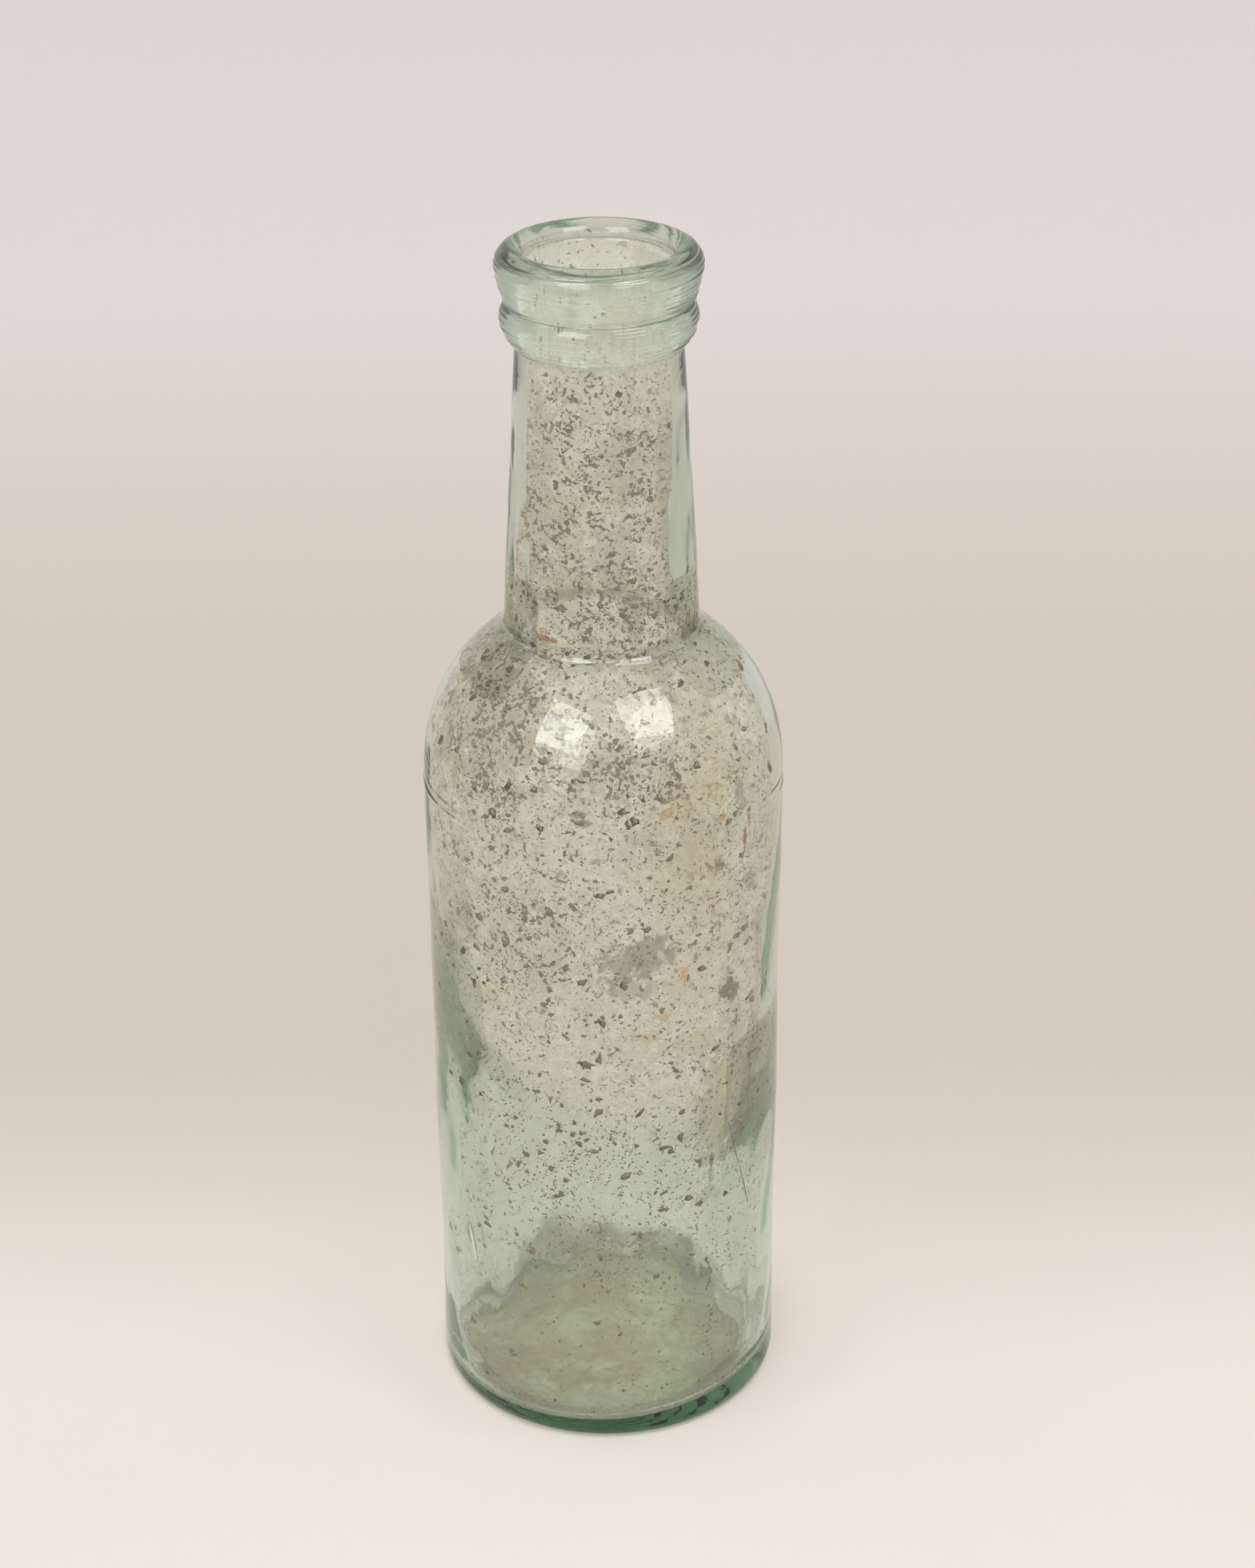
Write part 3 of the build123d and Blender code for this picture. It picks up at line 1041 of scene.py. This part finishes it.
def clean_edge(angle):
    """The clean floor's edge, softened between its points and a little ragged."""
    degrees = wrapped(np.degrees(angle))
    at = [point[0] for point in CLEAN_EDGE]
    reach = [point[1] for point in CLEAN_EDGE]
    soft = sum(np.interp(wrapped(degrees + step), at, reach) for step in (-9, -4.5, 0, 4.5, 9)) / 5
    soft = soft + 0.10 * np.cos(17 * angle + 1.0)
    return soft + 0.08 * np.cos(31 * angle) + 0.08 * np.cos(53 * angle + 2.0)


def floor_surface(angle, r):
    """The bottle's inside at a distance from the axis: the floor, and past it the corner's curve."""
    past_floor = np.clip(r - (INNER_R - CORNER_R), 0.0, CORNER_R)
    return inside_shape(angle, r, FLOOR_Z + CORNER_R - np.sqrt(CORNER_R**2 - past_floor**2))


def make_floor_silt():
    """A thin olive skin over the floor and up into the corner behind, with an uneven edge."""
    steps = np.linspace(0, 1, 44)
    rows = len(steps)

    def shape(angle, r, z):
        reach, level = floor_surface(angle, r * np.minimum(clean_edge(angle), INNER_R - 0.15))
        slope = np.clip(reach - (INNER_R - CORNER_R), 0.0, CORNER_R) / CORNER_R
        over = np.where(np.arange(len(r))[:, None] < rows, 0.17, 0.05)
        return reach - over * slope, level + over * np.sqrt(1 - np.minimum(slope, 0.98) ** 2)

    shell = Shell()
    shell.turned(np.concatenate([steps, steps[::-1]]), np.zeros(2 * rows), shape)
    return shell.made("floor_silt_skin", olive_silt)


def make_heel_silt():
    """Residue in the corner and up the wall's foot, from the clean floor out, with a raised rim."""
    steps = np.linspace(0, 1, 60)
    rows = len(steps)
    wall_waves = hand_waves(44, 7, 1.3, 9, 50.0)

    def shape(angle, t, z):
        inner = np.minimum(clean_edge(angle) - 0.25, INNER_R - 0.3)
        tide = TIDE_Z + waves_at(wall_waves, angle, 0 * t)
        r, level = floor_surface(angle, inner + (INNER_R - 0.001 - inner) * np.clip(t / 0.8, 0, 1))
        climb = np.clip((t - 0.8) / 0.2, 0, 1)
        foot = FLOOR_Z + CORNER_R
        high_r, high = inside_shape(angle, np.full(r.shape, INNER_R), foot + (tide - foot) * climb)
        r, level = np.where(climb > 0, high_r, r), np.where(climb > 0, high, level)
        slope = np.clip(r - (INNER_R - CORNER_R), 0.0, CORNER_R) / CORNER_R
        from_front = np.abs(wrapped(np.degrees(angle)))
        rim = 0.1 * smooth(60.0, 85.0, from_front) * np.exp(-(((t - 0.1) / 0.08) ** 2))
        in_front = 1 - smooth(104.0, 120.0, from_front)
        over = np.where(np.arange(len(t))[:, None] < rows, 0.12 + rim, 0.05 - 0.11 * in_front)
        return r - over * slope, level + over * np.sqrt(1 - np.minimum(slope, 0.99) ** 2)

    shell = Shell()
    shell.turned(np.concatenate([steps, steps[::-1]]), np.zeros(2 * rows), shape, closed=True)
    piece = shell.made("heel_silt_ring", pale_residue)
    piece.data.materials.append(grey_residue)
    piece.data.materials.append(brown_residue)
    from_front = np.abs(wrapped(np.degrees(AROUND)))
    width = 0.10 + 0.95 * smooth(112.0, 146.0, from_front)
    out = np.concatenate([steps, steps[::-1]])[:, None]
    finish = np.where((out < width) & (from_front > BROWN_HALF_ANGLE), 1, 0)
    finish = np.where((out < 0.5) & (from_front <= BROWN_HALF_ANGLE), 2, finish)
    finish = finish.astype(np.int32).ravel()
    piece.data.polygons.foreach_set("material_index", finish[: len(piece.data.polygons)])
    return piece


# ---------------------------------------------------------------- flakes of dirt on the wall

# Where the flakes crowd: angle, height, how far they spread round and up, how thick they lie
CROWDS = (
    (-50.0, 157.0, 26.0, 13.0, 2.2),
    (6.0, 150.0, 18.0, 7.0, 3.4),
    (-25.0, 118.0, 30.0, 20.0, 1.0),
    (0.0, 200.0, 70.0, 12.0, 1.4),
    (10.0, 174.0, 50.0, 7.0, 3.0),
    (0.0, 70.0, 30.0, 12.0, 1.2),
    (-18.0, 62.0, 16.0, 8.0, 1.2),
    (20.0, 52.0, 14.0, 8.0, 1.0),
    (52.0, 112.0, 9.0, 16.0, 1.8),
    (170.0, 110.0, 50.0, 40.0, 0.6),
)


def crowding(angle, z):
    """How thickly the flakes lie at each place, from 0 to about 4."""
    total = np.where(z > wave_height(angle), 0.7, 0.35) * np.where(z < 34.0, 0.3, 1.0)
    for at_angle, at_z, wide, tall, much in CROWDS:
        off = wrapped(np.degrees(angle) - at_angle)
        total = total + much * np.exp(-((off / wide) ** 2) - ((z - at_z) / tall) ** 2)
    return total


def on_wall(angle, z):
    """Points on the inside of the wall."""
    r, z = inside_shape(angle, np.interp(z, WALL_UP, WALL_R), z)
    return np.stack([r * np.sin(angle), -r * np.cos(angle), z], axis=-1)


def unit(vectors):
    """The same directions, each one millimetre long."""
    return vectors / np.linalg.norm(vectors, axis=-1, keepdims=True)


def add_flakes(shell, draw, angle, z, size, stretch, lean):
    """Small ragged plates that go through the film, one at each place."""
    count, sides = len(angle), FLAKE_SIDES
    here = on_wall(angle, z)
    around = unit(on_wall(angle + 0.01, z) - here)
    up = on_wall(angle, z + 0.3) - here
    up = unit(up - around * np.sum(around * up, axis=-1, keepdims=True))
    inward = np.cross(up, around)
    turn = math.tau * (np.arange(sides) + draw.uniform(-0.35, 0.35, (count, sides))) / sides
    reach = size[:, None] / 2 * draw.uniform(0.35, 1.25, (count, sides))
    along = reach * stretch[:, None] * np.cos(turn)
    across = reach * np.sin(turn)
    cosine, sine = np.cos(lean)[:, None], np.sin(lean)[:, None]
    level = (along * cosine - across * sine)[:, :, None] * around[:, None, :]
    upright = (along * sine + across * cosine)[:, :, None] * up[:, None, :]
    outline = here[:, None, :] + level + upright
    near = (film_reach(angle, z) - 0.03)[:, None, None]
    far = near + 0.12 + draw.uniform(0.02, 0.06, (count, 1, 1))
    points = np.concatenate([outline + near * inward[:, None, :], outline + far * inward[:, None, :]], axis=1)
    faces = []
    for first in range(0, count * 2 * sides, 2 * sides):
        second = first + sides
        faces.append(tuple(range(second - 1, first - 1, -1)))
        faces.append(tuple(range(second, second + sides)))
        for i in range(sides):
            j = (i + 1) % sides
            faces.append((first + i, first + j, second + j, second + i))
    shell.add(points.reshape(-1, 3), faces)


def make_flakes(name, seed, count, low, high, widest):
    """Flakes strewn over the wall between two heights, as thickly as crowding says, some in clumps."""
    draw = np.random.default_rng(seed)
    angle = draw.uniform(-math.pi, math.pi, 40 * count)
    z = draw.uniform(low, high, 40 * count)
    kept = draw.uniform(0.0, 4.2, 40 * count) < crowding(angle, z)
    angle, z = angle[kept][:count], z[kept][:count]
    size = FLAKE_SIZE + widest * draw.random(len(angle)) ** 9
    parent = draw.integers(0, len(angle), len(angle) // 2)
    angle = np.concatenate([angle, angle[parent] + draw.normal(0, FLAKE_CLUMP, len(parent)) / 31.0])
    z = np.clip(np.concatenate([z, z[parent] + draw.normal(0, FLAKE_CLUMP, len(parent))]), low, high)
    size = np.concatenate([size, 0.22 + 0.5 * size[parent] * draw.random(len(parent))])
    stretch = draw.uniform(1.0, 1.7, len(angle))
    lean = draw.uniform(0, math.pi, len(angle))
    shell = Shell()
    add_flakes(shell, draw, angle, z, size, stretch, lean)
    return shell.made(name, dirt)


def make_drip_line():
    """A broken line of dirt down the right of the wall, and a hair-thin scratch above it."""
    draw = np.random.default_rng(77)
    shell = Shell()
    z = np.concatenate([np.linspace(38.0, 30.5, 13), np.linspace(26.0, 13.5, 11)])
    angle = np.radians(39.0 + 1.2 * np.sin(z * 0.6))
    size = draw.uniform(0.4, 0.95, len(z))
    add_flakes(shell, draw, angle, z, size, np.full(len(z), 1.3), draw.uniform(0, 3, len(z)))
    z = np.linspace(70.0, 46.0, 34)
    angle = np.radians(np.linspace(46.0, 60.0, 34))
    add_flakes(shell, draw, angle, z, np.full(34, 0.22), np.full(34, 3.6), np.full(34, -1.25))
    return shell.made("drip_line", dirt)


def make_corner_grit():
    """Grit that has settled in the corner, most of it in front and to the right."""
    draw = np.random.default_rng(91)
    count = 700
    on_right = draw.random(count) < 0.12
    angle = np.radians(np.where(on_right, draw.normal(40, 6, count), draw.normal(10, 48, count)))
    inward = np.abs(draw.normal(0, 1, count)) * np.where(draw.random(count) < 0.8, 0.8, 4.0)
    r = np.minimum(30.9, 30.4 - inward)
    past_floor = np.maximum(0.0, r - (INNER_R - CORNER_R))
    r, z = inside_shape(angle, r, FLOOR_Z + CORNER_R - np.sqrt(CORNER_R**2 - past_floor**2))
    size = 0.2 + 0.5 * draw.random(count) ** 3
    middle = np.stack([r * np.sin(angle), -r * np.cos(angle), z + 0.12 + size * 0.25], axis=-1)
    corners = np.array([(1, 0, 0), (0, 1, 0), (-1, 0, 0), (0, -1, 0), (0, 0, 0.7), (0, 0, -0.7)])
    grains = corners * size[:, None, None] / 2 * draw.uniform(0.6, 1.2, (count, 6, 1))
    faces = []
    for first in range(0, 6 * count, 6):
        for i in range(4):
            j = (i + 1) % 4
            faces += [(first + i, first + j, first + 4), (first + j, first + i, first + 5)]
    shell = Shell()
    shell.add((middle[:, None, :] + grains).reshape(-1, 3), faces)
    return shell.made("corner_grit", dirt)


body = make_body()
collar = make_collar()
lip = make_lip()
film = make_film()
floor_silt = make_floor_silt()
heel_silt = make_heel_silt()
body_flakes = make_flakes("body_flakes", 61, 5200, 14.0, 168.0, 1.5)
neck_flakes = make_flakes("neck_flakes", 62, 1500, 168.0, 212.0, 1.0)
drip_line = make_drip_line()
corner_grit = make_corner_grit()

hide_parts("bottle_body")
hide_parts("collar")
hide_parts("lip")
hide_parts("wall_scale")
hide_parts("floor_silt")
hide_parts("heel_silt")


# ---------------------------------------------------------------- studio


def make_stage():
    """A pale table that sweeps up behind the bottle, a hair below it so that its foot rests on air."""
    material, tree, place = new_material("studio paper")
    tone = cloud(tree, place, 3.0, 4.0)
    colour = blend(tree, fade(tree, tone, 0.35, 0.65), (0.845, 0.785, 0.745, 1.0), (0.87, 0.81, 0.77, 1.0))
    # Painted light and shade: the paper is coloured bright in front, darker behind the bottle and a little
    # lighter again up the sweep, for how the light falls off across it
    depth = put(tree, "ShaderNodeSeparateXYZ", {0: place}).outputs[1]
    colour = blend(tree, fade(tree, depth, -0.03, 0.12), colour, (0.645, 0.588, 0.533, 1.0))
    colour = blend(tree, fade(tree, depth, 0.32, 0.75), colour, (0.742, 0.697, 0.678, 1.0))
    shader = put(
        tree,
        "ShaderNodeBsdfPrincipled",
        {"Base Color": colour, "Roughness": 0.9, "Specular IOR Level": 0.1},
    )
    put(tree, "ShaderNodeOutputMaterial", {"Surface": shader.outputs[0]})
    profile = [(-2.5, 0.0), (2.0, 0.0)] + arc((2.0, 0.0), (2.42, 0.18), (2.6, 0.6), 12)[1:] + [(2.6, 3.0)]
    points = [(x, y, z - STAGE_DROP * MM) for y, z in profile for x in (-3.0, 3.0)]
    faces = [(2 * i, 2 * i + 1, 2 * i + 3, 2 * i + 2) for i in range(len(profile) - 1)]
    mesh = bpy.data.meshes.new("studio_sweep")
    mesh.from_pydata(points, [], faces)
    mesh.materials.append(material)
    mesh.shade_smooth()
    sweep = bpy.data.objects.new("studio_sweep", mesh)
    bpy.context.scene.collection.objects.link(sweep)


def make_softbox(name, direction, width, height, roll, radiance):
    """A square light a metre and a half from the bottle's shoulder, which it faces."""
    data = bpy.data.lights.new(name, "AREA")
    data.shape = "RECTANGLE"
    data.size = width
    data.size_y = height
    data.energy = radiance * width * height * math.pi
    data.color = (1.0, 0.985, 0.965)
    light = bpy.data.objects.new(name, data)
    bpy.context.scene.collection.objects.link(light)
    light.location = Vector(direction) * 1.5 + Vector((0.0, 0.0, SHOULDER_Z * MM))
    facing = Vector(direction).to_track_quat("Z", "Y") @ Quaternion((0.0, 0.0, 1.0), roll)
    light.rotation_euler = facing.to_euler()
    light.visible_diffuse = False


def make_world():
    """An even, warm white room."""
    world = bpy.data.worlds.new("white room")
    bpy.context.scene.world = world
    world.use_nodes = True
    background = world.node_tree.nodes["Background"]
    background.inputs["Color"].default_value = (1.0, 0.985, 0.965, 1.0)
    background.inputs["Strength"].default_value = 1.08


def make_camera():
    """The viewpoint: above and in front, with a long lens."""
    data = bpy.data.cameras.new("camera")
    data.sensor_width = 36.0
    data.lens = 68.2
    data.clip_start = 0.01
    data.dof.use_dof = False
    camera = bpy.data.objects.new("camera", data)
    bpy.context.scene.collection.objects.link(camera)
    camera.location = (0.00468, -0.5173, 0.3967)
    pitch = 0.4718
    camera.rotation_mode = "XYZ"
    camera.rotation_euler = (math.pi / 2 - pitch, 0.0, 0.0)
    camera.rotation_euler.rotate_axis("Z", -0.0055)
    bpy.context.scene.camera = camera


make_stage()
make_world()
make_camera()
make_softbox("softbox_left", (-0.4093, -0.627, 0.6628), 0.81, 0.77, -0.07, 5.0)
make_softbox("softbox_right", (0.4698, -0.4674, 0.7489), 0.74, 0.70, -0.21, 5.0)

scene = bpy.context.scene
scene.view_settings.view_transform = "Standard"
scene.cycles.max_bounces = 32
scene.cycles.transmission_bounces = 32
scene.cycles.transparent_max_bounces = 32
scene.cycles.diffuse_bounces = 5
scene.cycles.glossy_bounces = 32
scene.cycles.sample_clamp_indirect = 4.0
scene.cycles.blur_glossy = 0.0
scene.cycles.use_denoising = True
